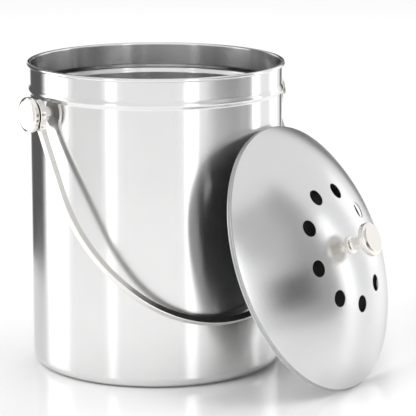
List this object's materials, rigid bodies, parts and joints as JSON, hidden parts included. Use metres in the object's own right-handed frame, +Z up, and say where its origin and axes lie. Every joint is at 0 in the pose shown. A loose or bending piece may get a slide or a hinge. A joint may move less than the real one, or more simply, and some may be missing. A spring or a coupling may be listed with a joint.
{
  "type": "compost caddy",
  "caption": "Round steel compost caddy with a rolled rim and a swing handle; its domed, vented lid with a knob and a charcoal filter leans against the front.",
  "frame": {"origin": "centre of the bin's flat base, on the worktop", "axes": "+Z up along the bin's axis; X along the handle's pivot axis; the handle hangs towards -Y, where the lid also leans, to the +X side"},
  "size_m": [0.2411, 0.2527, 0.2117],
  "materials": {
    "bin_steel": "fine satin polish",
    "lid_steel": "fine satin polish",
    "handle_steel": "bright nickel-like polish",
    "turned_steel": "bright polish",
    "screw_steel": "plain",
    "tab_steel": "plain",
    "black_nylon": "matte",
    "tray_plastic": "matte",
    "charcoal": "carbon felt"
  },
  "bodies": {
    "bin": {"bin_shell": "bin_steel", "left_spacer_bush": "turned_steel", "right_spacer_bush": "turned_steel", "left_nylon_washer": "black_nylon", "right_nylon_washer": "black_nylon", "left_pivot_cap": "turned_steel", "right_pivot_cap": "turned_steel", "left_backing_washer": "screw_steel", "right_backing_washer": "screw_steel", "left_pivot_screw": "screw_steel", "right_pivot_screw": "screw_steel"},
    "handle": {"handle": "handle_steel"},
    "lid": {"lid_shell": "lid_steel", "knob_stem": "turned_steel", "knob_cap": "turned_steel", "knob_washer": "screw_steel", "knob_screw": "screw_steel", "filter_tabs": "tab_steel", "filter_tray": "tray_plastic", "charcoal_filter": "charcoal"}
  },
  "joints": [
    {"name": "handle_swing", "type": "hinge", "parent": "bin", "child": "handle", "pos_m": [0, 0, 0.1822], "axis": [-1, 0, 0], "range_deg": [0, 292]},
    {"name": "lid_lift_off", "type": "slide", "parent": "bin", "child": "lid", "axis": [0.3985, -0.8393, 0.3697], "range_m": [0, 0.45]}
  ],
  "couplings": [
    {"joint": "lid_lift_off", "follows": "handle_swing", "m_per_rad": 0.0882}
  ]
}
